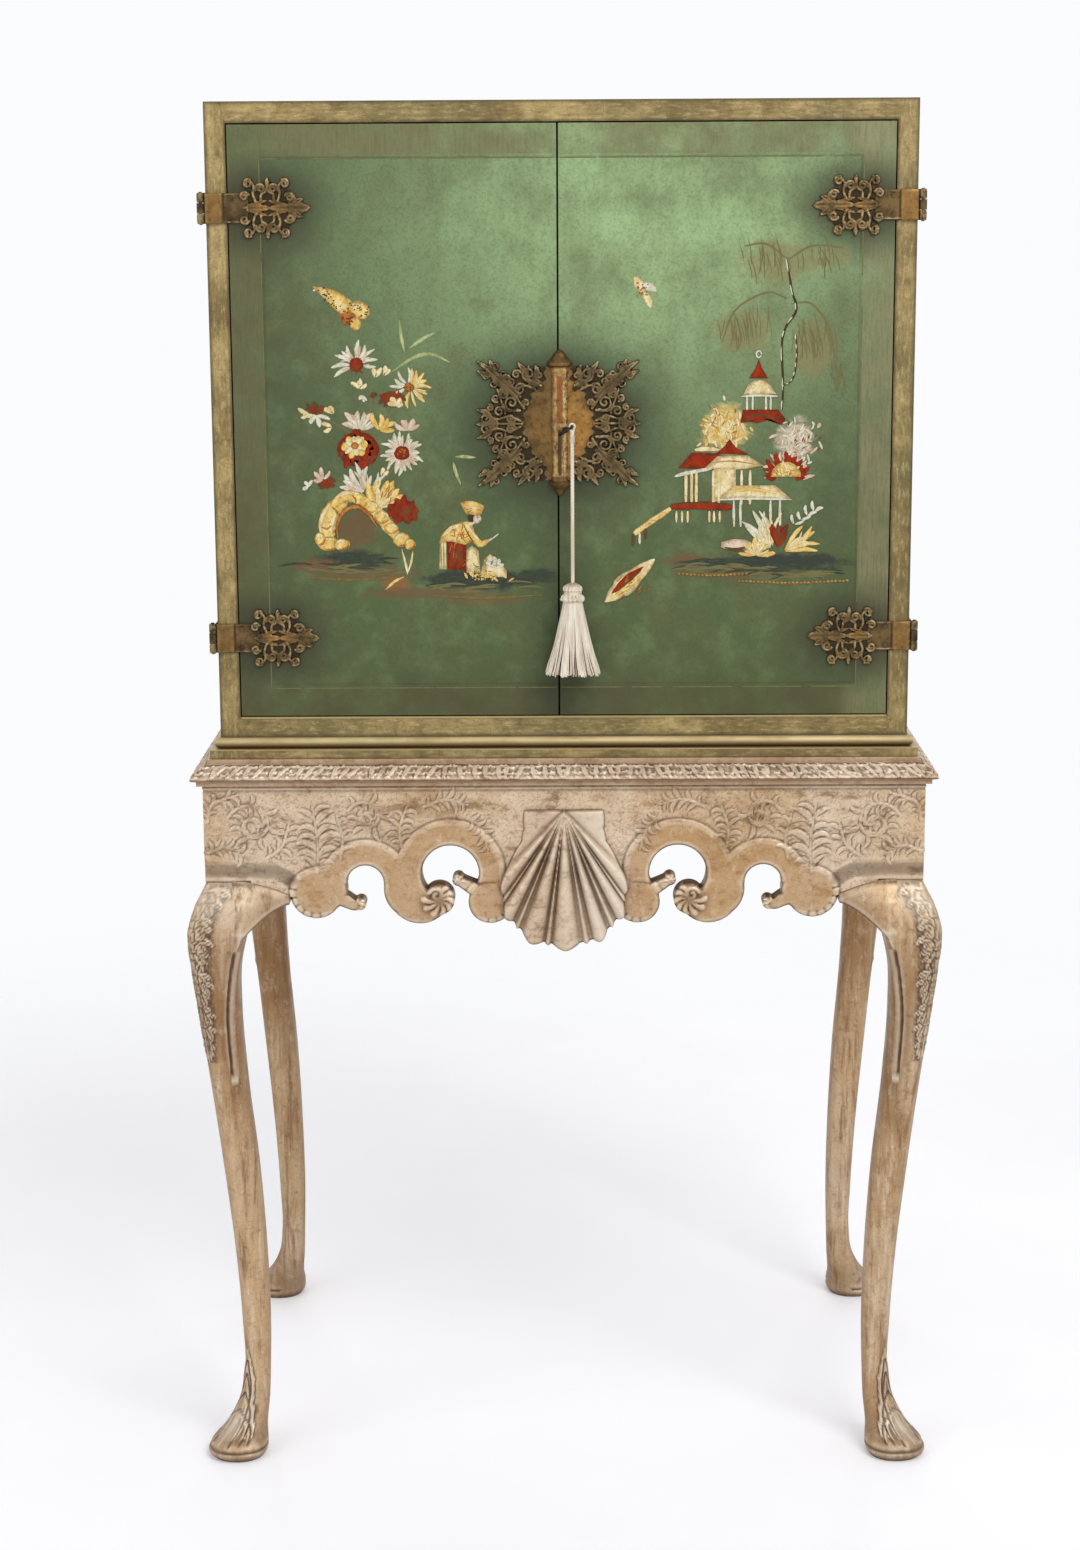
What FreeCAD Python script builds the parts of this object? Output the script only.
import FreeCAD, Part
import math
import os
import re
import Sketcher

# A two-door cocktail cabinet on a carved cabriole stand.
# Millimetres, z up, the front faces minus y, the floor is z = 0.

doc = FreeCAD.newDocument("cocktail_cabinet")
sheet = doc.addObject("Spreadsheet::Sheet", "sizes")

# Driving sizes: name, value, meaning
SIZES = (
    ("carcase_width", 742, "outside width of the cabinet box"),
    ("carcase_depth", 480, "outside depth of the cabinet box"),
    ("carcase_height", 670, "outside height of the cabinet box"),
    ("board", 22, "thickness of the box's sides, top and bottom"),
    ("back_board", 12, "thickness of the back panel"),
    ("mirror_thick", 4, "mirror on the back panel"),
    ("mirror_margin", 6, "bare edge round the mirror"),
    ("door_thick", 20, "thickness of both doors"),
    ("door_gap", 1.5, "gap round the doors"),
    ("door_proud", 0.5, "door face in front of the box's edge"),
    ("meeting_gap", 2, "gap between the doors"),
    ("meeting_shift", 4.4, "meeting line to the left of the middle"),
    ("shelf_thick", 6, "glass shelf"),
    ("shelf_rise", 345, "shelf above the cabinet floor"),
    ("shelf_front", 50, "shelf edge behind the box's front"),
    ("shelf_back", 22, "shelf edge before the box's back"),
    ("shelf_gap", 1, "gap at the shelf's ends"),
    ("peg_radius", 3, "shelf pegs"),
    ("peg_depth", 9, "peg in the side board"),
    ("peg_show", 10, "peg in front of the side board"),
    ("peg_spread", 135, "pegs before and behind the middle"),
    ("stop_width", 40, "door stop blocks"),
    ("stop_height", 18, "door stop blocks"),
    ("stop_depth", 14, "door stop blocks"),
    ("stop_spread", 200, "stop blocks left and right of the middle"),
    ("base_height", 22, "moulded base under the box"),
    ("base_inside", 50, "base pieces under the box"),
    ("base_band", 10, "height of the base's flat band"),
    ("base_out", 11, "band in front of the box"),
    ("stand_height", 808, "top of the stand"),
    ("cornice_height", 28, "moulding round the stand's top"),
    ("cornice_out", 33, "moulding in front of the box"),
    ("cornice_bead", 11, "radius of the carved round"),
    ("cornice_fillet", 14, "upper fillet in front of the box"),
    ("cornice_foot", 25, "lower fillet in front of the box"),
    ("fillet_height", 5, "height of both fillets"),
    ("frieze_out", 18, "frieze in front of the box"),
    ("frieze_height", 108, "frieze from the moulding to the knees"),
    ("post_width", 48, "square leg post behind the frieze"),
    ("rail_thick", 22, "aprons and back rail"),
    ("knee_reach", 22, "knee outside the frieze"),
    ("knee_width", 66, "leg at the knee"),
    ("calf_width", 42, "leg at the calf"),
    ("ankle_width", 29.2, "leg at the ankle"),
    ("ankle_set", 22.8, "ankle inside the frieze"),
    ("foot_width", 66.5, "pad foot"),
    ("foot_reach", 18, "foot outside the frieze"),
    ("lobe_one_along", 71, "first lobe from the post"),
    ("lobe_one_radius", 28, "first lobe"),
    ("lobe_drop", 10, "lobe centres below the apron board"),
    ("curl_one_along", 115, "first curl from the post"),
    ("curl_one_drop", 21, "first curl below the board"),
    ("curl_radius", 9, "small curls"),
    ("eye_one_along", 125, "first opening from the post"),
    ("eye_one_radius", 20, "first opening"),
    ("lobe_two_along", 184, "second lobe from the post"),
    ("lobe_two_radius", 34, "second lobe"),
    ("eye_two_along", 217.5, "second opening from the post"),
    ("eye_two_radius", 31, "second opening"),
    ("eye_two_rise", 12, "second opening above the board's edge"),
    ("curl_two_along", 205, "second curl from the post"),
    ("curl_two_drop", 15, "second curl below the board"),
    ("curl_two_radius", 15, "second curl"),
    ("curl_three_along", 229, "third curl from the post"),
    ("lobe_three_along", 261, "third lobe from the post"),
    ("lobe_three_drop", 20, "third lobe below the board"),
    ("lobe_three_radius", 24, "third lobe"),
    ("shell_block", 80, "radius of the block behind the shell"),
    ("shell_block_rise", 22, "middle of that block above the board's edge"),
    ("shell_drop", 73, "shell below the board's edge"),
    ("shell_length", 155, "shell from hinge to rim"),
    ("shell_rib", 15, "radius of a shell rib at the rim"),
    ("shell_root", 4, "radius of a shell rib at the hinge"),
    ("shell_start", 9, "ribs begin below the shell's hinge"),
    ("shell_wing", 43, "half width of the shell's hinge"),
    ("bracket_length", 42, "knee bracket along the apron"),
    ("bracket_drop", 70, "knee bracket down the leg"),
    ("bracket_curve", 49, "hollow under the bracket"),
    ("bracket_proud", 8, "bracket in front of the frieze"),
    ("hinge_out", 5.2, "hinge pin outside the box's side"),
    ("hinge_inset", 85, "hinge middle from the door's end"),
    ("strap_thick", 2.5, "hinge straps and lock plates"),
    ("strap_height", 32, "plain part of a strap"),
    ("strap_length", 119, "strap from the barrel's outside to the tip"),
    ("strap_round", 30, "radius of the pierced end"),
    ("strap_tip", 20, "half diagonal of the strap's point"),
    ("barrel_radius", 4, "hinge barrel"),
    ("pin_radius", 1.7, "hinge pin"),
    ("running_fit", 0.05, "play between a pin and its bore"),
    ("knuckle_gap", 0.4, "gap between barrel knuckles"),
    ("leaf_length", 36, "hinge leaf on the box's side"),
    ("leaf_thick", 2.4, "hinge leaf on the box's side"),
    ("nail_head", 2.6, "radius of a nail head"),
    ("nail_shank", 1.2, "radius of a nail shank"),
    ("nail_length", 7.5, "nail under its head"),
    ("nail_cap", 1.2, "height of a nail head"),
    ("plate_width", 88, "half of the lock plate, from the meeting line"),
    ("plate_height", 130, "lock plate"),
    ("bar_radius", 9.6, "round bar over the meeting line"),
    ("bar_height", 126, "round bar"),
    ("bar_shift", 1.6, "bar's middle to the right of the meeting line"),
    ("roof_radius", 13.6, "roof on the bar"),
    ("roof_height", 17, "roof and pedestal heights in all"),
    ("lock_rise", 307, "key above the bottom of the doors"),
    ("key_side", 8, "key to the right of the meeting line"),
    ("shank_radius", 2.2, "key shank"),
    ("key_play", 0.4, "play round the key shank"),
    ("bow_radius", 8, "key bow, middle of its ring"),
    ("bow_wire", 1.4, "radius of the bow's ring wire"),
    ("bow_stand", 20.5, "bow's middle in front of the door"),
    ("bit_reach", 7, "key bit from the shank's middle"),
    ("bit_thick", 2.4, "key bit"),
    ("case_width", 37, "lock case along the door"),
    ("case_above", 24, "lock case above the key"),
    ("case_below", 38, "lock case below the key"),
    ("case_depth", 12.4, "lock case in the door"),
    ("case_wall", 1.6, "walls of the lock case and its cover"),
    ("bolt_height", 20, "lock bolt"),
    ("bolt_thick", 5, "lock bolt"),
    ("bolt_length", 31, "lock bolt"),
    ("bolt_drop", 4, "lock bolt's edge below the key"),
    ("slide_fit", 0.3, "play round sliding pieces"),
    ("strike_depth", 9, "pocket for the bolt in the left door"),
    ("rod_radius", 3, "door bolt rods"),
    ("rod_length", 80, "door bolt rods"),
    ("rod_side", 20, "rods to the left of the meeting line"),
    ("rod_rest", 2, "drawn rod short of the door's end"),
    ("rod_travel", 10, "slide of a door bolt"),
    ("guide_plate", 2, "back plate of a door bolt"),
    ("guide_width", 16, "width of a door bolt"),
    ("guide_loop", 8, "height and depth of a rod loop"),
    ("cord_radius", 2.1, "tassel cord"),
    ("cord_length", 161.6, "cord from the bow to the tassel's head"),
    ("head_radius", 10.5, "tassel head"),
    ("head_height", 21, "tassel head with its collar"),
    ("collar_radius", 13.3, "collar under the tassel head"),
    ("skirt_height", 80, "tassel skirt"),
    ("skirt_wide", 29, "half width of the skirt's hem"),
    ("skirt_deep", 18, "half depth of the skirt's hem"),
    ("screw_radius", 2, "screws through the stand's top"),
    ("screw_length", 44, "screws through the stand's top"),
    ("screw_spread", 150, "screws before and behind the middle"),
)

# Sizes worked out from the driving ones
DERIVED = (
    ("half_width", "carcase_width / 2"),
    ("half_depth", "carcase_depth / 2"),
    ("inner_half", "half_width - board"),
    ("carcase_low", "stand_height + base_height"),
    ("carcase_high", "carcase_low + carcase_height"),
    ("floor_level", "carcase_low + board"),
    ("ceiling_level", "carcase_high - board"),
    ("door_low", "floor_level + door_gap"),
    ("door_high", "ceiling_level - door_gap"),
    ("door_face", "half_depth + door_proud"),
    ("door_rear", "door_face - door_thick"),
    ("plate_face", "door_face + strap_thick"),
    ("left_edge", "-meeting_shift - meeting_gap / 2"),
    ("right_edge", "-meeting_shift + meeting_gap / 2"),
    ("shelf_level", "floor_level + shelf_rise"),
    ("frieze_half", "half_width + frieze_out"),
    ("frieze_front", "half_depth + frieze_out"),
    ("post_side", "frieze_half - post_width"),
    ("post_end", "frieze_front - post_width"),
    ("frieze_high", "stand_height - cornice_height"),
    ("knee_top", "frieze_high - frieze_height"),
    ("apron_low", "knee_top - 2"),
    ("hinge_side", "half_width + hinge_out"),
    ("hinge_front", "door_face + strap_thick / 2"),
    ("hinge_upper", "door_high - hinge_inset"),
    ("hinge_lower", "door_low + hinge_inset"),
    ("strap_point", "hinge_side + barrel_radius - strap_length"),
    ("key_level", "door_low + lock_rise"),
    ("key_across", "key_side - meeting_shift"),
    ("case_front", "door_rear + case_wall + case_depth"),
    ("bolt_middle", "case_front - case_depth / 2"),
    ("rod_across", "-meeting_shift - rod_side"),
    ("rod_back", "door_rear - guide_plate - guide_loop / 2"),
    ("bow_front", "door_face + bow_stand"),
)

BOW_TILT = 33
SHELL_RIBS = ((-43.5, 0.62), (-29, 0.83), (-14.5, 0.95), (0, 1), (14.5, 0.95), (29, 0.83), (43.5, 0.62))
SIDES = (("left", -1), ("right", 1))
ENDS = (("upper", "hinge_upper"), ("lower", "hinge_lower"))
TURNS = {
    "x": FreeCAD.Rotation(FreeCAD.Vector(0, 1, 0), 90),
    "y": FreeCAD.Rotation(FreeCAD.Vector(1, 0, 0), -90),
    "z": FreeCAD.Rotation(),
}

for row, (name, amount, meaning) in enumerate(SIZES, start=1):
    sheet.set(f"A{row}", str(amount))
    sheet.setAlias(f"A{row}", name)
    sheet.set(f"B{row}", meaning)
for row, (name, formula) in enumerate(DERIVED, start=1):
    sheet.set(f"D{row}", "=" + formula)
    sheet.setAlias(f"D{row}", name)
doc.recompute()

WORDS = re.compile(r"\b(" + "|".join(row[0] for row in SIZES + DERIVED) + r")\b")
nodes = []


def bind(text):
    """Turns size names in a formula into references to the sheet."""
    return WORDS.sub(r"sizes.\1", str(text))


def value(text):
    """Works a formula out now, for the first drawing of a sketch."""
    return float(sheet.evalExpression(bind(text)))


def span(sign, near, far):
    """A range measured outwards from the middle, on the side that sign names."""
    if sign > 0:
        return near, far
    return f"-({far})", f"-({near})"


def put(thing, base, turn=None):
    """Binds an object's position and sets its turn."""
    if turn is not None:
        thing.Placement = FreeCAD.Placement(FreeCAD.Vector(), turn)
    for axis, text in zip("xyz", base):
        thing.setExpression(f"Placement.Base.{axis}", bind(text))
    return thing


def box(name, x, y, z):
    """A block between two formulas on each axis."""
    block = doc.addObject("Part::Box", name)
    for side, (low, high) in zip(("Length", "Width", "Height"), (x, y, z)):
        block.setExpression(side, bind(f"({high}) - ({low})"))
    return put(block, (x[0], y[0], z[0]))


def rod(name, along, start, radius, length):
    """A cylinder that runs along one axis from its low end."""
    cylinder = doc.addObject("Part::Cylinder", name)
    cylinder.setExpression("Radius", bind(radius))
    cylinder.setExpression("Height", bind(length))
    return put(cylinder, start, TURNS[along])


def cone(name, start, low_radius, high_radius, length, turn=None):
    """A cone from its low end, upright unless turned."""
    taper = doc.addObject("Part::Cone", name)
    taper.setExpression("Radius1", bind(low_radius))
    taper.setExpression("Radius2", bind(high_radius))
    taper.setExpression("Height", bind(length))
    return put(taper, start, turn or TURNS["z"])


def ball(name, centre, radius, turn):
    """A sphere, its poles on its turned z axis."""
    sphere = doc.addObject("Part::Sphere", name)
    sphere.setExpression("Radius", bind(radius))
    return put(sphere, centre, turn)


def ring(name, centre, radius, wire, turn):
    """A torus about its turned z axis."""
    torus = doc.addObject("Part::Torus", name)
    torus.setExpression("Radius1", bind(radius))
    torus.setExpression("Radius2", bind(wire))
    return put(torus, centre, turn)


def fuse(name, shapes):
    """One solid from several that overlap."""
    union = doc.addObject("Part::MultiFuse", name)
    union.Shapes = shapes
    return union


def cut(name, base, tools):
    """A solid with others taken away."""
    result = doc.addObject("Part::Cut", name)
    result.Base = base
    result.Tool = tools[0] if len(tools) == 1 else fuse(name + "_tools", tools)
    return result


def common(name, first, second):
    """What two solids share."""
    result = doc.addObject("Part::Common", name)
    result.Base = first
    result.Tool = second
    return result


def mirror(name, source, normal):
    """The mirror image of a solid across a middle plane."""
    image = doc.addObject("Part::Mirroring", name)
    image.Source = source
    image.Normal = normal
    return image


def group(name, shapes):
    """Separate solids kept as one sub-part."""
    bundle = doc.addObject("Part::Compound", name)
    bundle.Links = shapes
    return bundle


def node(label, thing):
    """Names a finished sub-part."""
    thing.Label = label
    nodes.append(thing)
    return thing


# Cabinet box
for label, sign in SIDES:
    plank = box(
        f"side_{label}_plank",
        span(sign, "inner_half", "half_width"),
        ("-half_depth", "half_depth"),
        ("floor_level", "ceiling_level"),
    )
    bores = []
    for number, spread in enumerate(("-peg_spread", "peg_spread")):
        low = "inner_half - 1" if sign > 0 else "-(inner_half + peg_depth)"
        start = (low, spread, "shelf_level - peg_radius")
        bores.append(
            rod(f"peg_bore_{label}_{number}", "x", start, "peg_radius + running_fit", "peg_depth + 1")
        )
    node(f"carcase_side_{label}", cut(f"side_{label}", plank, bores))

whole_width = ("-half_width", "half_width")
whole_depth = ("-half_depth", "half_depth")
top_plank = box("top_plank", whole_width, whole_depth, ("ceiling_level", "carcase_high"))
bottom_plank = box("bottom_plank", whole_width, whole_depth, ("carcase_low", "floor_level"))
socket_radius = "rod_radius + 2 * slide_fit"
socket_depth = "rod_travel + 3"
top_socket = rod(
    "top_socket", "z", ("rod_across", "-rod_back", "ceiling_level - 1"), socket_radius, socket_depth
)
low_start = ("rod_across", "-rod_back", f"floor_level + 1 - ({socket_depth})")
bottom_socket = rod("bottom_socket", "z", low_start, socket_radius, socket_depth)
node("carcase_top", cut("top_board", top_plank, [top_socket]))
node("carcase_bottom", cut("bottom_board", bottom_plank, [bottom_socket]))

inside_width = ("-inner_half", "inner_half")
inside_height = ("floor_level", "ceiling_level")
node(
    "carcase_back",
    box("back_panel", inside_width, ("half_depth - back_board", "half_depth"), inside_height)
)
node("mirror_back", box(
    "mirror",
    ("-(inner_half - mirror_margin)", "inner_half - mirror_margin"),
    ("half_depth - back_board - mirror_thick", "half_depth - back_board"),
    ("floor_level + mirror_margin", "ceiling_level - mirror_margin"),
))
node("glass_shelf", box(
    "shelf",
    ("-(inner_half - shelf_gap)", "inner_half - shelf_gap"),
    ("-(half_depth - shelf_front)", "half_depth - shelf_back"),
    ("shelf_level", "shelf_level + shelf_thick"),
))
pegs = []
for label, sign in SIDES:
    for number, spread in enumerate(("-peg_spread", "peg_spread")):
        low = "inner_half - peg_show" if sign > 0 else "-(inner_half + peg_depth)"
        start = (low, spread, "shelf_level - peg_radius")
        pegs.append(rod(f"peg_{label}_{number}", "x", start, "peg_radius", "peg_show + peg_depth"))
node("shelf_pegs", group("pegs", pegs))
stops = []
for label, sign in SIDES:
    stops.append(box(
        f"stop_{label}",
        span(sign, "stop_spread - stop_width / 2", "stop_spread + stop_width / 2"),
        ("-(door_rear - door_proud)", "-(door_rear - door_proud - stop_depth)"),
        ("ceiling_level - stop_height", "ceiling_level"),
    ))
node("door_stops", group("stops", stops))


def moulding(name, low, high, inside, outside, back, members):
    """A mitred moulding on the front and both sides, from blocks and rounds."""
    mitre = doc.addObject("Part::Wedge", f"{name}_mitre")
    for side, text in (
        ("Xmin", f"-(half_width + {outside})"), ("Xmax", f"half_width + {outside}"),
        ("X2min", f"-(half_width - {inside})"), ("X2max", f"half_width - {inside}"),
        ("Ymin", f"-(half_depth + {outside})"), ("Ymax", f"-(half_depth - {inside})"),
        ("Zmin", low), ("Zmax", high), ("Z2min", low), ("Z2max", high),
    ):
        mitre.setExpression(side, bind(text))
    front = []
    flanks = {"left": [], "right": []}
    for number, (kind, out, level, size) in enumerate(members):
        across = (f"-(half_width + {outside})", f"half_width + {outside}")
        along = (f"-(half_depth + {outside})", back)
        piece = f"{name}_{number}"
        if kind == "flat":
            reach = (f"-(half_depth + {out})", f"-(half_depth - {inside})")
            front.append(box(f"{piece}_front", across, reach, (level, size)))
            for label, sign in SIDES:
                width = span(sign, f"half_width - {inside}", f"half_width + {out}")
                flanks[label].append(box(f"{piece}_{label}", width, along, (level, size)))
        else:
            start = (across[0], f"-(half_depth + {out})", level)
            front.append(rod(f"{piece}_front", "x", start, size, f"2 * (half_width + {outside})"))
            for label, sign in SIDES:
                start = (f"{sign} * (half_width + {out})", along[0], level)
                length = f"({back}) + half_depth + {outside}"
                flanks[label].append(rod(f"{piece}_{label}", "y", start, size, length))
    node(f"{name}_front", common(f"{name}_front_cut", fuse(f"{name}_front_all", front), mitre))
    for label, sign in SIDES:
        flank = cut(f"{name}_{label}_mitred", fuse(f"{name}_{label}_all", flanks[label]), [mitre])
        yield label, sign, flank


# Moulded base of the box
base_members = (
    ("flat", "base_out", "stand_height", "stand_height + base_band"),
    ("flat", "0", "stand_height + base_band", "carcase_low"),
    ("round", "0", "(stand_height + base_band + carcase_low) / 2", "(base_height - base_band) / 2"),
)
screw_side = "half_width - base_inside / 2"
screws = []
top_holes = []
for label, sign, flank in moulding(
    "base_moulding", "stand_height", "carcase_low", "base_inside", "base_out", "half_depth", base_members
):
    holes = []
    for number, spread in enumerate(("-screw_spread", "screw_spread")):
        start = (f"{sign} * ({screw_side})", spread, "frieze_high")
        name = f"{label}_{number}"
        holes.append(rod(f"base_hole_{name}", "z", start, "screw_radius + running_fit", "screw_length"))
        top_holes.append(rod(f"top_hole_{name}", "z", start, "screw_radius + running_fit", "screw_length"))
        shank = rod(f"screw_shank_{name}", "z", start, "screw_radius", "screw_length - 1")
        head = rod(
            f"screw_head_{name}", "z", (start[0], spread, "frieze_high - 2"), "2 * screw_radius", "2"
        )
        screws.append(fuse(f"screw_{name}", [shank, head]))
    node(f"base_moulding_{label}", cut(f"base_moulding_{label}_bored", flank, holes))
node("base_batten_back", box(
    "base_batten",
    ("-(half_width - base_inside)", "half_width - base_inside"),
    ("half_depth - base_inside", "half_depth"),
    ("stand_height", "carcase_low"),
))

# Top of the stand with its carved moulding
cornice_members = (
    ("flat", "cornice_fillet", "stand_height - fillet_height", "stand_height"),
    ("round", "cornice_out - cornice_bead", "stand_height - cornice_bead - fillet_height / 2", "cornice_bead"),
    ("flat", "cornice_out - cornice_bead", "frieze_high", "stand_height - fillet_height"),
    ("flat", "cornice_foot", "frieze_high", "frieze_high + fillet_height"),
)
for label, sign, flank in moulding(
    "cornice", "frieze_high", "stand_height", "0", "cornice_out", "frieze_front", cornice_members
):
    node(f"cornice_{label}", flank)
top_slab = box(
    "stand_top_slab", whole_width, ("-half_depth", "frieze_front"), ("frieze_high", "stand_height")
)
node("stand_top", cut("stand_top_bored", top_slab, top_holes))
node("stand_screws", group("stand_screw_set", screws))

# Cabriole legs: level, width, reach outside the frieze, corner radius as a share of the width
LEG_SECTIONS = (
    ("sole", "0", "0.86 * foot_width", "foot_reach - 0.08 * foot_width", 0.46),
    ("pad", "0.009 * knee_top", "foot_width", "foot_reach", 0.46),
    ("toe", "0.021 * knee_top", "0.98 * foot_width", "foot_reach - 0.03 * foot_width", 0.46),
    (
        "instep", "0.045 * knee_top",
        "0.5 * (ankle_width + foot_width)", "0.55 * foot_reach - 0.45 * ankle_set", 0.45,
    ),
    ("hollow", "0.09 * knee_top", "1.13 * ankle_width", "-0.77 * ankle_set", 0.45),
    ("ankle", "0.141 * knee_top", "ankle_width", "-ankle_set", 0.45),
    ("shin", "0.223 * knee_top", "1.09 * ankle_width", "-0.95 * ankle_set", 0.44),
    ("low_calf", "0.357 * knee_top", "0.5 * (ankle_width + calf_width)", "-0.72 * ankle_set", 0.42),
    ("calf", "0.506 * knee_top", "0.95 * calf_width", "-0.31 * ankle_set", 0.4),
    ("high_calf", "0.67 * knee_top", "calf_width", "0.2 * knee_reach", 0.36),
    ("thigh", "0.789 * knee_top", "0.27 * knee_width + 0.73 * calf_width", "0.64 * knee_reach", 0.32),
    ("under_knee", "0.863 * knee_top", "0.6 * knee_width + 0.4 * calf_width", "0.91 * knee_reach", 0.28),
    ("knee", "0.92 * knee_top", "knee_width", "knee_reach", 0.25),
    ("shoulder", "0.967 * knee_top", "0.65 * knee_width + 0.35 * post_width", "0.55 * knee_reach", 0.18),
    ("crown", "knee_top", "post_width", "0", 0.08),
)


def rounded_square(name, width, corner, base):
    """A sketch of a square with round corners, its width and corner bound to the sheet."""
    sketch = doc.addObject("Sketcher::SketchObject", name)
    put(sketch, base)
    half = value(width) / 2
    bend = value(corner)
    flat = half - bend
    corners = []
    for quarter, (x, y) in enumerate(((flat, flat), (-flat, flat), (-flat, -flat), (flat, -flat))):
        circle = Part.Circle(FreeCAD.Vector(x, y, 0), FreeCAD.Vector(0, 0, 1), bend)
        start = quarter * math.pi / 2
        corners.append(sketch.addGeometry(Part.ArcOfCircle(circle, start, start + math.pi / 2)))
    edges = []
    for first, second in (
        ((flat, half), (-flat, half)), ((-half, flat), (-half, -flat)),
        ((-flat, -half), (flat, -half)), ((half, -flat), (half, flat)),
    ):
        ends = [FreeCAD.Vector(*point, 0) for point in (first, second)]
        edges.append(sketch.addGeometry(Part.LineSegment(*ends)))
    for number, edge in enumerate(edges):
        sketch.addConstraint(Sketcher.Constraint("Tangent", corners[number], 2, edge, 1))
        sketch.addConstraint(Sketcher.Constraint("Tangent", edge, 2, corners[(number + 1) % 4], 1))
        direction = "Horizontal" if number % 2 == 0 else "Vertical"
        sketch.addConstraint(Sketcher.Constraint(direction, edge))
    for number in range(3):
        sketch.addConstraint(Sketcher.Constraint("Equal", corners[number], corners[number + 1]))
    sketch.addConstraint(Sketcher.Constraint("Symmetric", corners[0], 3, corners[2], 3, -1, 1))
    bend_rule = sketch.addConstraint(Sketcher.Constraint("Radius", corners[0], bend))
    wide_rule = sketch.addConstraint(Sketcher.Constraint("DistanceX", edges[1], 1, edges[3], 2, 2 * half))
    tall_rule = sketch.addConstraint(Sketcher.Constraint("DistanceY", edges[2], 2, edges[0], 1, 2 * half))
    sketch.setExpression(f"Constraints[{bend_rule}]", bind(corner))
    sketch.setExpression(f"Constraints[{wide_rule}]", bind(width))
    sketch.setExpression(f"Constraints[{tall_rule}]", bind(width))
    return sketch


sections = []
for name, level, width, reach, share in LEG_SECTIONS:
    inset = f"({reach}) - ({width}) / 2"
    middle = (f"-(frieze_half + {inset})", f"-(frieze_front + {inset})", level)
    sections.append(rounded_square(f"leg_{name}", width, f"{share} * ({width})", middle))
limb = doc.addObject("Part::Loft", "leg_limb")
limb.Sections = sections
limb.Solid = True
post = box(
    "leg_post",
    span(-1, "post_side", "frieze_half"),
    span(-1, "post_end", "frieze_front"),
    ("knee_top", "frieze_high"),
)
leg = node("leg_front_left", fuse("leg", [limb, post]))
ACROSS = FreeCAD.Vector(1, 0, 0)
BACKWARDS = FreeCAD.Vector(0, 1, 0)
right_leg = node("leg_front_right", mirror("leg_right", leg, ACROSS))
node("leg_back_left", mirror("leg_behind", leg, BACKWARDS))
node("leg_back_right", mirror("leg_behind_right", right_leg, BACKWARDS))


def slab(name, along, stretch, depth, height):
    """A block in an apron that runs along x or y."""
    if along == "x":
        return box(name, stretch, depth, height)
    return box(name, depth, stretch, height)


def disc(name, along, place, level, radius, depth):
    """A round right through an apron that runs along x or y."""
    length = f"({depth[1]}) - ({depth[0]})"
    if along == "x":
        return rod(name, "y", (place, depth[0], level), radius, length)
    return rod(name, "x", (depth[0], place, level), radius, length)


def scroll_apron(name, along, reach, depth, full):
    """An apron board with scrolled lobes and round openings, mirrored about its middle."""
    solids = [slab(f"{name}_board", along, (f"-{reach}", reach), depth, ("apron_low", "frieze_high"))]
    openings = []
    curls = []
    curl_level = "apron_low - curl_one_drop"
    for label, sign in SIDES:
        lobes = [("one", "lobe_drop", "lobe_one_radius"), ("two", "lobe_drop", "lobe_two_radius")]
        eyes = [("one", "apron_low + 1", "eye_one_radius")]
        if full:
            lobes.append(("three", "lobe_three_drop", "lobe_three_radius"))
            eyes.append(("two", "apron_low + eye_two_rise", "eye_two_radius"))
            curl_place = f"{sign} * ({reach} - curl_two_along)"
            curl_two = disc(
                f"{name}_{label}_curl_two", along, curl_place,
                "apron_low - curl_two_drop", "curl_two_radius", depth
            )
            curl_place = f"{sign} * ({reach} - curl_three_along)"
            curl_three = disc(
                f"{name}_{label}_curl_three", along, curl_place, "apron_low", "curl_radius", depth
            )
            neck = slab(
                f"{name}_{label}_neck", along,
                span(sign, f"{reach} - lobe_three_along", f"{reach} - curl_three_along"),
                depth, ("apron_low - 2 * curl_radius", "apron_low"),
            )
            curls += [curl_two, curl_three, neck]
        for word, drop, radius in lobes:
            place = f"{sign} * ({reach} - lobe_{word}_along)"
            solids.append(
                disc(f"{name}_{label}_lobe_{word}", along, place, f"apron_low - {drop}", radius, depth)
            )
        solids.append(disc(
            f"{name}_{label}_curl_one", along, f"{sign} * ({reach} - curl_one_along)",
            curl_level, "curl_radius", depth
        ))
        solids.append(slab(
            f"{name}_{label}_scroll", along,
            span(sign, f"{reach} - curl_one_along", f"{reach} - lobe_one_along"),
            depth, (f"{curl_level} - curl_radius", f"{curl_level} + curl_radius"),
        ))
        for word, level, radius in eyes:
            place = f"{sign} * ({reach} - eye_{word}_along)"
            openings.append(disc(f"{name}_{label}_eye_{word}", along, place, level, radius, depth))
    if full:
        solids.append(disc(f"{name}_middle", along, "0", "apron_low + shell_block_rise", "shell_block", depth))
        pierced = cut(f"{name}_pierced", fuse(f"{name}_solid", solids), openings)
        return fuse(f"{name}_scrolled", [pierced] + curls)
    return cut(f"{name}_pierced", fuse(f"{name}_solid", solids), openings)


# Aprons and back rail between the posts
front_depth = ("-frieze_front", "-(frieze_front - rail_thick)")
node("apron_front", scroll_apron("front_apron", "x", "post_side", front_depth, True))
for label, sign in SIDES:
    side_depth = span(sign, "frieze_half - rail_thick", "frieze_half")
    node(f"apron_{label}", scroll_apron(f"{label}_apron", "y", "post_end", side_depth, False))
node("rail_back", box(
    "back_rail",
    ("-post_side", "post_side"),
    ("frieze_front - rail_thick", "frieze_front"),
    ("apron_low", "frieze_high"),
))

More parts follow.
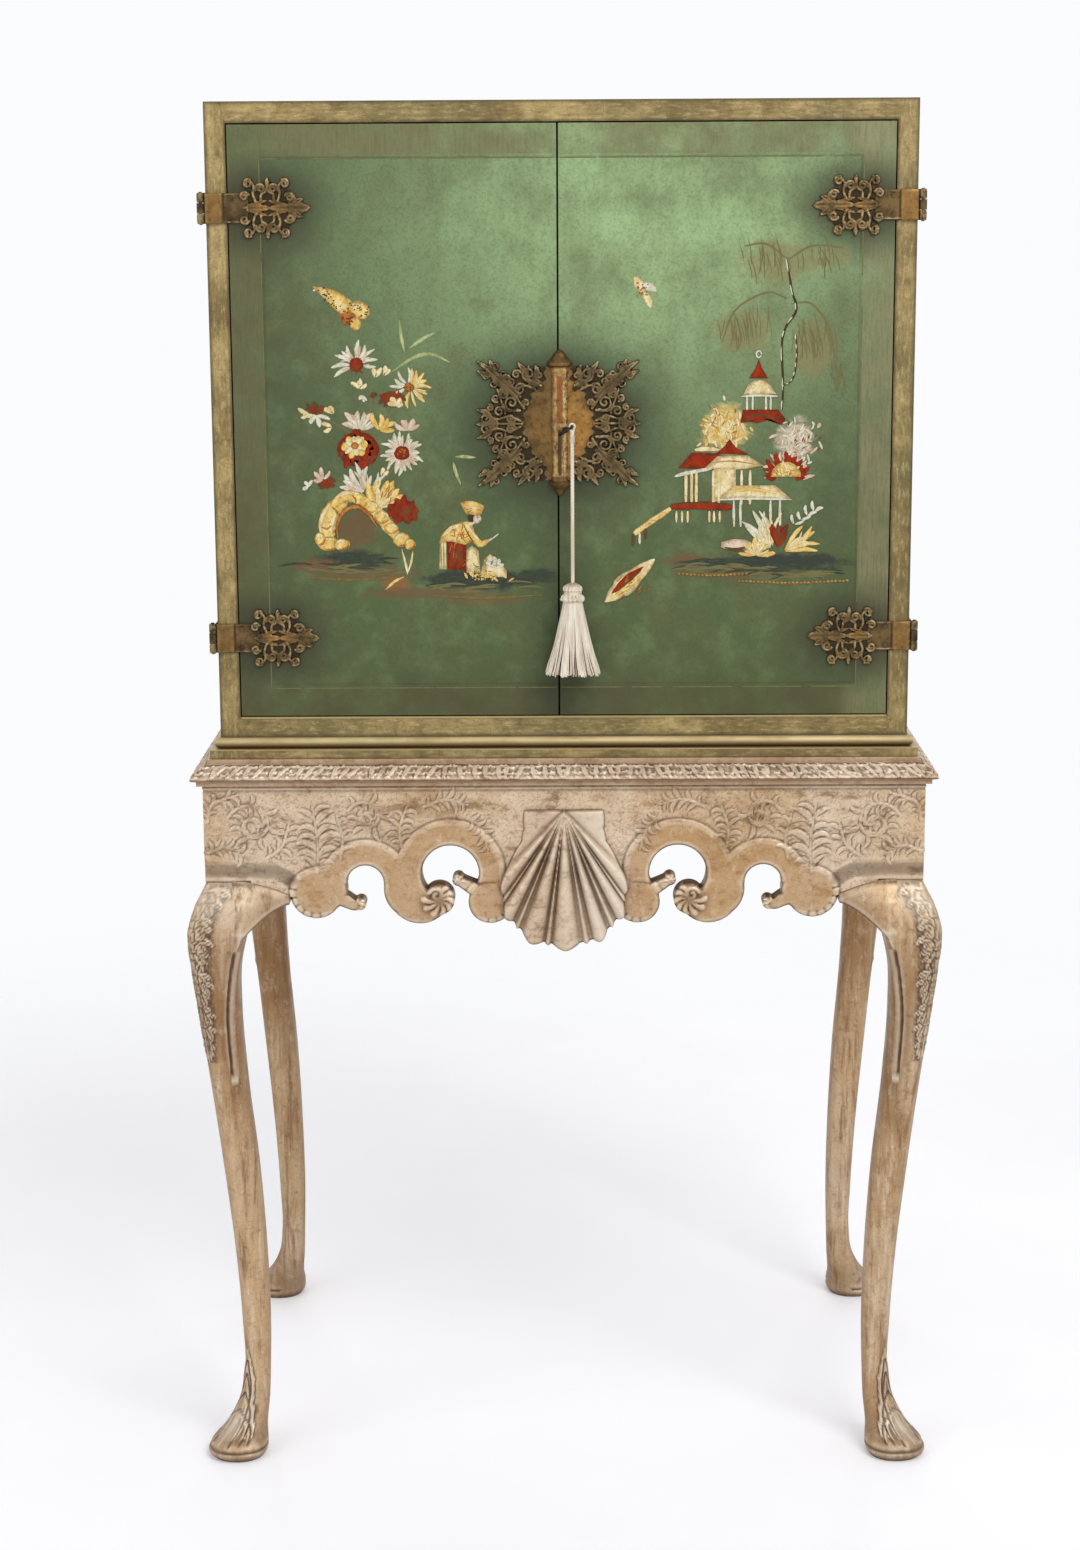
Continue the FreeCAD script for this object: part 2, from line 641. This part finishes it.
# Shell on the front apron
hinge_level = "apron_low - shell_drop + shell_length"
fan = []
for number, (angle, share) in enumerate(SHELL_RIBS):
    sine = math.sin(math.radians(angle))
    cosine = math.cos(math.radians(angle))
    reach = f"({share} * shell_length - shell_rib)"
    turn = FreeCAD.Rotation(FreeCAD.Vector(0, 1, 0), 180 - angle)
    start = (f"{sine:.5f} * shell_start", "-frieze_front", f"{hinge_level} - {cosine:.5f} * shell_start")
    fan.append(cone(f"shell_rib_{number}", start, "shell_root", "shell_rib", f"{reach} - shell_start", turn))
    tip = (f"{sine:.5f} * {reach}", "-frieze_front", f"{hinge_level} - {cosine:.5f} * {reach}")
    fan.append(ball(f"shell_tip_{number}", tip, "shell_rib", turn))
fan.append(box(
    "shell_hinge",
    ("-shell_wing", "shell_wing"),
    ("-(frieze_front + shell_rib / 2)", "-frieze_front"),
    (f"{hinge_level} - shell_rib", f"{hinge_level} + 0"),
))
shell_space = box(
    "shell_space",
    ("-shell_length", "shell_length"),
    ("-(frieze_front + 2 * shell_rib)", "-frieze_front"),
    (f"{hinge_level} - 2 * shell_length", f"{hinge_level} + shell_rib"),
)
node("apron_shell", common("shell", fuse("shell_fan", fan), shell_space))

# Knee brackets beside each leg, under the aprons
bracket_height = ("apron_low - bracket_drop", "apron_low")
front_block = box(
    "bracket_front_block",
    span(-1, "post_side - bracket_length", "post_side + post_width / 2"),
    ("-(frieze_front + bracket_proud)", "-(frieze_front - rail_thick)"),
    bracket_height,
)
front_hollow = rod(
    "bracket_front_hollow", "y",
    ("-(post_side - bracket_length)", "-(frieze_front + 2 * bracket_proud)", "apron_low - bracket_drop"),
    "bracket_curve", "rail_thick + 4 * bracket_proud",
)
front_bracket = cut("bracket_front", cut("bracket_front_curved", front_block, [front_hollow]), [leg])
side_block = box(
    "bracket_side_block",
    span(-1, "frieze_half - rail_thick", "frieze_half + bracket_proud"),
    span(-1, "post_end - bracket_length", "post_end + post_width / 2"),
    bracket_height,
)
side_hollow = rod(
    "bracket_side_hollow", "x",
    ("-(frieze_half + 2 * bracket_proud)", "-(post_end - bracket_length)", "apron_low - bracket_drop"),
    "bracket_curve", "rail_thick + 4 * bracket_proud",
)
side_bracket = cut("bracket_side", cut("bracket_side_curved", side_block, [side_hollow]), [leg])
front_mate = mirror("bracket_front_mate", front_bracket, ACROSS)
side_mate = mirror("bracket_side_mate", side_bracket, BACKWARDS)
front_pair = node("knee_brackets_front", group("brackets_front", [front_bracket, front_mate]))
node("knee_brackets_back", mirror("brackets_back", front_pair, BACKWARDS))
left_pair = node("knee_brackets_left", group("brackets_left", [side_bracket, side_mate]))
node("knee_brackets_right", mirror("brackets_right", left_pair, ACROSS))

# Hinges: strap on the door, leaf on the box's side, pin through both
NAIL_SPOTS = (("hinge_side - 31", "10"), ("hinge_side - 31", "-10"), ("strap_point + strap_tip", "0"))
# Eyes in a strap's round end: place along and up, and radius, as shares of the round end's radius
STRAP_EYES = (("0.1", "0.5", "0.2"), ("0.1", "-0.5", "0.2"), ("-0.5", "0", "0.16"))
door_nails = {"left": [], "right": []}
door_holes = {"left": [], "right": []}


def nail(name, x, z, seat):
    """A nail through a fitting into a door, with the holes for it."""
    head = rod(f"{name}_head", "y", (x, f"-({seat} + nail_cap)", z), "nail_head", "nail_cap")
    shank = rod(f"{name}_shank", "y", (x, f"-({seat} + nail_cap / 2)", z), "nail_shank", "nail_length")
    hole = rod(
        f"{name}_hole", "y", (x, f"-({seat} + nail_cap / 2)", z),
        "nail_shank + running_fit", "nail_length + 0.5"
    )
    return fuse(name, [head, shank]), hole


leaf_screws = []
for label, sign in SIDES:
    leaves = []
    pins = []
    for end, level in ENDS:
        name = f"{end}_{label}"
        axis = (f"{sign} * hinge_side", "-hinge_front")
        strap_y = ("-plate_face", "-door_face")
        middle = "strap_point + 1.5 * strap_round"
        parts = [
            box(
                f"strap_{name}_flat", span(sign, middle, "hinge_side"), strap_y,
                (f"{level} - strap_height / 2", f"{level} + strap_height / 2"),
            ),
            rod(
                f"strap_{name}_round", "y", (f"{sign} * ({middle})", strap_y[0], level),
                "strap_round", "strap_thick"
            ),
            put(
                box(f"strap_{name}_tip", ("0", "1.414 * strap_tip"), strap_y, ("0", "1.414 * strap_tip")),
                (f"{sign} * (strap_point + strap_tip)", strap_y[0], f"{level} - strap_tip"),
                FreeCAD.Rotation(FreeCAD.Vector(0, 1, 0), -45),
            ),
            rod(
                f"strap_{name}_barrel", "z", (*axis, f"{level} - strap_height / 2"),
                "barrel_radius", "strap_height"
            ),
        ]
        holes = [
            rod(
                f"strap_{name}_bore", "z", (*axis, f"{level} - strap_height"),
                "pin_radius + running_fit", "2 * strap_height",
            ),
            box(
                f"strap_{name}_notch",
                span(sign, "hinge_side - barrel_radius - 0.6", "hinge_side + 2 * barrel_radius"),
                ("-(hinge_front + 2 * barrel_radius)", "-(hinge_front - 2 * barrel_radius)"),
                (f"{level} - strap_height / 6 - knuckle_gap", f"{level} + strap_height / 6 + knuckle_gap"),
            ),
        ]
        for number, (along, rise, radius) in enumerate(STRAP_EYES):
            start = (
                f"{sign} * ({middle} + {along} * strap_round)",
                strap_y[0], f"{level} + {rise} * strap_round"
            )
            holes.append(
                rod(f"strap_{name}_eye_{number}", "y", start, f"{radius} * strap_round", "strap_thick")
            )
        for number, (across, rise) in enumerate(NAIL_SPOTS):
            piece, hole = nail(
                f"nail_{name}_{number}", f"{sign} * ({across})", f"{level} + {rise}", "plate_face"
            )
            door_nails[label].append(piece)
            door_holes[label].append(hole)
            holes.append(hole)
        node(f"hinge_strap_{name}", cut(f"strap_{name}", fuse(f"strap_{name}_solid", parts), holes))
        leaf_solid = fuse(f"leaf_{name}_solid", [
            box(
                f"leaf_{name}_plate",
                span(sign, "half_width", "half_width + leaf_thick"),
                ("-(half_depth - barrel_radius)", "-(half_depth - barrel_radius - leaf_length)"),
                (f"{level} - strap_height / 2", f"{level} + strap_height / 2"),
            ),
            box(
                f"leaf_{name}_link",
                span(sign, "half_width + leaf_thick / 2", "hinge_side"),
                ("-hinge_front", "-(half_depth - barrel_radius - 1)"),
                (f"{level} - strap_height / 6", f"{level} + strap_height / 6"),
            ),
            rod(
                f"leaf_{name}_knuckle", "z", (*axis, f"{level} - strap_height / 6"),
                "barrel_radius", "strap_height / 3"
            ),
        ])
        leaf_holes = [rod(
            f"leaf_{name}_bore", "z", (*axis, f"{level} - strap_height"),
            "pin_radius + running_fit", "2 * strap_height",
        )]
        leaves.append(cut(f"leaf_{name}", leaf_solid, leaf_holes))
        pins.append(rod(
            f"pin_{name}", "z", (*axis, f"{level} - strap_height / 2 - 1"), "pin_radius", "strap_height + 2"
        ))
        for number, rise in enumerate(("-9", "9")):
            low = "half_width + leaf_thick" if sign > 0 else "-(half_width + leaf_thick + nail_cap)"
            place = ("-(half_depth - barrel_radius - leaf_length / 2)", f"{level} + {rise}")
            leaf_screws.append(rod(
                f"leaf_screw_{name}_{number}", "x", (low, *place), "nail_head", "nail_cap"
            ))
    node(f"hinge_leaves_{label}", group(f"leaves_{label}", leaves))
    node(f"hinge_pins_{label}", group(f"pins_{label}", pins))
node("leaf_screws", group("leaf_screw_set", leaf_screws))

# Lock plates and the split bar over the meeting line
PLATE_NAILS = ((0.2, 0.28), (0.2, -0.28), (0.7, 0.345), (0.7, -0.345))
LEAF_TURN = 42.5


def plate_spot(sign, across, rise):
    """A place on a lock plate, as shares of its width and height."""
    return f"-meeting_shift + {sign} * {across} * plate_width", f"key_level + 6 + {rise} * plate_height"


bar_axis = ("-meeting_shift + bar_shift", "-half_depth")
bar_low = "key_level + 4 - bar_height / 2"
bar_high = "key_level + 4 + bar_height / 2"
bar_whole = fuse("bar_whole", [
    rod("bar_body", "z", (*bar_axis, bar_low), "bar_radius", "bar_height"),
    rod("bar_eaves", "z", (*bar_axis, bar_high), "roof_radius", "0.15 * roof_height"),
    cone(
        "bar_roof", (*bar_axis, f"{bar_high} + 0.15 * roof_height"),
        "roof_radius", "2", "0.85 * roof_height"
    ),
    rod("bar_sill", "z", (*bar_axis, bar_low), "0.9 * roof_radius", "0.2 * roof_height"),
    cone(
        "bar_foot", (*bar_axis, f"{bar_low} - 0.65 * roof_height"),
        "3", "0.9 * roof_radius", "0.65 * roof_height"
    ),
])
key_start = ("key_across", "-(door_face + 3 * bar_radius)", "key_level")
key_hole = rod(
    "key_hole", "y", key_start, "shank_radius + key_play", "3 * bar_radius + door_thick - case_wall - 1"
)
for label, sign in SIDES:
    edge = "-left_edge" if sign < 0 else "right_edge"
    depth = ("-plate_face", "-door_face")
    solids = []
    holes = [key_hole] if sign > 0 else []
    x, z = plate_spot(sign, 0.14, 0)
    low, high = (f"{z} - 0.34 * plate_height", f"{z} + 0.34 * plate_height")
    solids.append(
        box(f"plate_{label}_body", span(sign, edge, f"{edge} + 0.26 * plate_width"), depth, (low, high))
    )
    solids.append(rod(f"plate_{label}_belly", "y", (x, depth[0], z), "0.34 * plate_width", "strap_thick"))
    lobe_x, lobe_z = plate_spot(sign, 0.875, 0)
    solids.append(
        rod(f"plate_{label}_lobe", "y", (lobe_x, depth[0], lobe_z), "0.11 * plate_width", "strap_thick")
    )
    holes.append(
        rod(f"plate_{label}_lobe_eye", "y", (lobe_x, depth[0], lobe_z), "0.045 * plate_width", "strap_thick")
    )
    arm = span(sign, f"{edge} + 0.4 * plate_width", f"{edge} + 0.85 * plate_width")
    solids.append(box(f"plate_{label}_arm", arm, depth, (f"{z} - 5", f"{z} + 5")))
    for word, way in (("up", 1), ("down", -1)):
        x, z = plate_spot(sign, 0.34, way * 0.4)
        solids.append(
            rod(f"plate_{label}_{word}_scroll", "y", (x, depth[0], z), "0.11 * plate_width", "strap_thick")
        )
        holes.append(
            rod(f"plate_{label}_{word}_eye", "y", (x, depth[0], z), "0.04 * plate_width", "strap_thick")
        )
        x, z = plate_spot(sign, 0.24, way * 0.36)
        solids.append(
            rod(f"plate_{label}_{word}_neck", "y", (x, depth[0], z), "0.1 * plate_width", "strap_thick")
        )
        x, z = plate_spot(sign, 0.54, way * 0.15)
        solids.append(
            rod(f"plate_{label}_{word}_web", "y", (x, depth[0], z), "0.17 * plate_width", "strap_thick")
        )
        holes.append(
            rod(f"plate_{label}_{word}_web_eye", "y", (x, depth[0], z), "0.075 * plate_width", "strap_thick")
        )
        x, z = plate_spot(sign, 0.4 + way * 0.047, way * 0.155)
        turn = FreeCAD.Rotation(FreeCAD.Vector(0, 1, 0), -sign * way * LEAF_TURN)
        if sign < 0:
            turn = turn.multiply(FreeCAD.Rotation(FreeCAD.Vector(0, 0, 1), 180))
        leaf_y = depth[0] if sign > 0 else depth[1]
        solids.append(put(
            box(
                f"plate_{label}_{word}_leaf", ("0", "0.75 * plate_width"),
                depth, ("0", "0.14 * plate_width")
            ),
            (x, leaf_y, f"{z} - 0.052 * plate_width"), turn,
        ))
    for number, (across, rise) in enumerate(PLATE_NAILS):
        x, z = plate_spot(sign, across, rise)
        piece, hole = nail(f"plate_nail_{label}_{number}", x, z, "plate_face")
        door_nails[label].append(piece)
        door_holes[label].append(hole)
        holes.append(hole)
    pierced = cut(f"plate_{label}_pierced", fuse(f"plate_{label}_solid", solids), holes)
    plate_half = box(
        f"plate_{label}_half",
        span(sign, edge, f"{edge} + 2 * plate_width"),
        depth,
        (f"{z} - 2 * plate_height", f"{z} + 2 * plate_height"),
    )
    node(f"lock_plate_{label}", common(f"plate_{label}", pierced, plate_half))
    bar_space = box(
        f"bar_{label}_space",
        span(sign, edge, f"{edge} + 2 * roof_radius"),
        ("-(half_depth + 2 * roof_radius)", "-door_face"),
        (f"{bar_low} - roof_height", f"{bar_high} + roof_height"),
    )
    bar_half = common(f"bar_{label}_half", bar_whole, bar_space)
    plate_space = box(
        f"bar_{label}_seat", span(sign, edge, f"{edge} + 2 * roof_radius"), depth, (low, high)
    )
    bar_tools = [plate_space] + ([key_hole] if sign > 0 else [])
    node(f"lock_bar_{label}", cut(f"bar_{label}", bar_half, bar_tools))

# Doors, bored for nails, key, lock and bolt
case_x = ("right_edge", "right_edge + case_width")
case_z = ("key_level - case_below", "key_level + case_above")
bolt_z = ("key_level - bolt_drop - bolt_height", "key_level - bolt_drop")
bolt_y = ("-(bolt_middle + bolt_thick / 2)", "-(bolt_middle - bolt_thick / 2)")
door_y = ("-door_face", "-door_rear")
door_z = ("door_low", "door_high")
left_plank = box("left_door_plank", ("-(inner_half - door_gap)", "left_edge"), door_y, door_z)
right_plank = box("right_door_plank", ("right_edge", "inner_half - door_gap"), door_y, door_z)
strike = box(
    "strike_pocket",
    ("left_edge - strike_depth", "left_edge + 1"),
    (f"{bolt_y[0]} - 2 * slide_fit", f"{bolt_y[1]} + 2 * slide_fit"),
    (f"{bolt_z[0]} - 2 * slide_fit", f"{bolt_z[1]} + 2 * slide_fit"),
)
lock_pocket = box(
    "lock_pocket", (f"{case_x[0]} - 1", case_x[1]), ("-case_front", "-(door_rear - 1)"), case_z
)
node("door_left", cut("left_door", left_plank, [strike] + door_holes["left"]))
node("door_right", cut("right_door", right_plank, [lock_pocket, key_hole] + door_holes["right"]))
for label, sign in SIDES:
    node(f"door_nails_{label}", group(f"nails_{label}", door_nails[label]))

# Lock: case, cover, bolt and key
case_block = box("case_block", case_x, ("-case_front", "-(door_rear + case_wall)"), case_z)
case_hollow = box(
    "case_hollow",
    (f"{case_x[0]} + case_wall", f"{case_x[1]} - case_wall"),
    ("-(case_front - case_wall)", "-door_rear"),
    (f"{case_z[0]} + case_wall", f"{case_z[1]} - case_wall"),
)
case_slot = box(
    "case_slot",
    (f"{case_x[0]} - 1", f"{case_x[0]} + 2 * case_wall"),
    (f"{bolt_y[0]} - slide_fit", f"{bolt_y[1]} + slide_fit"),
    (f"{bolt_z[0]} - slide_fit", f"{bolt_z[1]} + slide_fit"),
)
case_bore_start = ("key_across", "-(case_front + 1)", "key_level")
case_bore = rod("case_bore", "y", case_bore_start, "shank_radius + key_play", "case_wall + 2")
node("lock_case", cut("case", case_block, [case_hollow, case_slot, case_bore]))
node("lock_cover", box("case_cover", case_x, ("-(door_rear + case_wall)", "-door_rear"), case_z))
bolt_block = box("bolt_block", (f"{case_x[0]} + slide_fit", f"{case_x[0]} + bolt_length"), bolt_y, bolt_z)
talon = box(
    "bolt_talon",
    ("key_across + bit_reach - 1.8", "key_across + bit_reach + 3.2"),
    (f"{bolt_y[0]} - 1", f"{bolt_y[1]} + 1"),
    (f"{bolt_z[1]} - 5", f"{bolt_z[1]} + 1"),
)
node("lock_bolt", cut("bolt", bolt_block, [talon]))
bow_turn = FreeCAD.Rotation(FreeCAD.Vector(0, 1, 0), -BOW_TILT)
bow = ring("key_bow", ("key_across", "-bow_front", "key_level"), "bow_radius", "bow_wire", bow_turn)
shank_start = ("key_across", "-(bow_front - bow_radius)", "key_level")
shank = rod("key_shank", "y", shank_start, "shank_radius", "bow_front - bow_radius - bolt_middle + 3")
collar = rod(
    "key_collar", "y", ("key_across", "-(bow_front - bow_radius)", "key_level"), "1.45 * shank_radius", "2"
)
bit = box(
    "key_bit",
    ("key_across", "key_across + bit_reach"),
    ("-(bolt_middle + bolt_thick / 2 - 1)", "-(bolt_middle - bolt_thick / 2 + 1)"),
    ("key_level - bit_thick / 2", "key_level + bit_thick / 2"),
)
node("key", fuse("key_whole", [bow, shank, collar, bit]))

# Sliding bolts on the inside of the left door
for word, way, edge in (("top", 1, "door_high"), ("bottom", -1, "door_low")):
    tip = f"{edge} - {way} * rod_rest"
    far = f"{tip} - {way} * rod_length"
    low, high = (far, tip) if way > 0 else (tip, far)
    guide_parts = [box(
        f"guide_{word}_plate",
        ("rod_across - guide_width / 2", "rod_across + guide_width / 2"),
        ("-door_rear", "-(door_rear - guide_plate)"),
        (f"{low} + 0.06 * rod_length", f"{high} - 0.06 * rod_length"),
    )]
    for number, share in enumerate((0.12, 0.78)):
        guide_parts.append(box(
            f"guide_{word}_loop_{number}",
            ("rod_across - 0.35 * guide_width", "rod_across + 0.35 * guide_width"),
            ("-(door_rear - guide_plate / 2)", "-(door_rear - guide_plate - guide_loop - 1)"),
            (f"{low} + {share} * rod_length", f"{low} + {share} * rod_length + guide_loop"),
        ))
    guide_bore = rod(
        f"guide_{word}_bore", "z", ("rod_across", "-rod_back", low),
        "rod_radius + slide_fit / 3", "rod_length"
    )
    node(f"bolt_guide_{word}", cut(f"guide_{word}", fuse(f"guide_{word}_solid", guide_parts), [guide_bore]))
    pin = rod(f"rod_{word}_pin", "z", ("rod_across", "-rod_back", low), "rod_radius", "rod_length")
    knob = rod(
        f"rod_{word}_knob", "y", ("rod_across", "-rod_back", f"({low} + {high}) / 2"),
        "1.1 * rod_radius", "12"
    )
    node(f"bolt_rod_{word}", fuse(f"rod_{word}", [pin, knob]))

# Tassel that hangs from the key's bow
tilt = math.radians(BOW_TILT)
loop_x = f"key_across + {math.cos(tilt):.5f} * bow_radius"
loop_z = f"key_level + {math.sin(tilt):.5f} * bow_radius"
loop_radius = "(bow_wire + cord_radius + slide_fit)"
head_top = f"{loop_z} - {loop_radius} - cord_length"
hang = (loop_x, "-bow_front")
loop = ring("cord_loop", (*hang, loop_z), loop_radius, "cord_radius", TURNS["y"])
drop = rod("cord_drop", "z", (*hang, head_top), "cord_radius", "cord_length")
node("tassel_cord", fuse("cord", [loop, drop]))
head_parts = [
    rod("head_stem", "z", (*hang, f"{head_top} - head_height"), "head_radius", "head_height - 3"),
    cone("head_crown", (*hang, f"{head_top} - 3"), "head_radius", "0.75 * head_radius", "3"),
    ring(
        "head_collar", (*hang, f"{head_top} - head_height + collar_radius - head_radius"), "head_radius",
        "collar_radius - head_radius", TURNS["z"],
    ),
]
node("tassel_head", fuse("head", head_parts))
skirt_rings = []
for number, (share, wide, deep) in enumerate((
    (0, "0.95 * head_radius", "0.95 * head_radius"),
    (0.45, "0.7 * head_radius + 0.3 * skirt_wide", "0.85 * skirt_deep"),
    (1, "skirt_wide", "skirt_deep"),
)):
    hoop = doc.addObject("Part::Ellipse", f"skirt_hoop_{number}")
    hoop.setExpression("MajorRadius", bind(wide))
    hoop.setExpression("MinorRadius", bind(deep))
    put(hoop, (*hang, f"{head_top} - head_height - {share} * skirt_height"), TURNS["z"])
    skirt_rings.append(hoop)
skirt = doc.addObject("Part::Loft", "skirt")
skirt.Sections = skirt_rings
skirt.Solid = True
node("tassel_skirt", skirt)

doc.recompute()
for thing in doc.Objects:
    if "Invalid" in thing.State or "Error" in thing.State:
        raise RuntimeError(f"{thing.Name} did not build: {thing.State}")
for thing in nodes:
    if thing.Shape.isNull() or not thing.Shape.isValid() or not thing.Shape.Solids:
        raise RuntimeError(f"{thing.Label} is not a sound solid")

os.makedirs("parts", exist_ok=True)
for thing in nodes:
    thing.Shape.exportStep(f"parts/{thing.Label}.step")
print(f"{len(nodes)} sub-parts written")
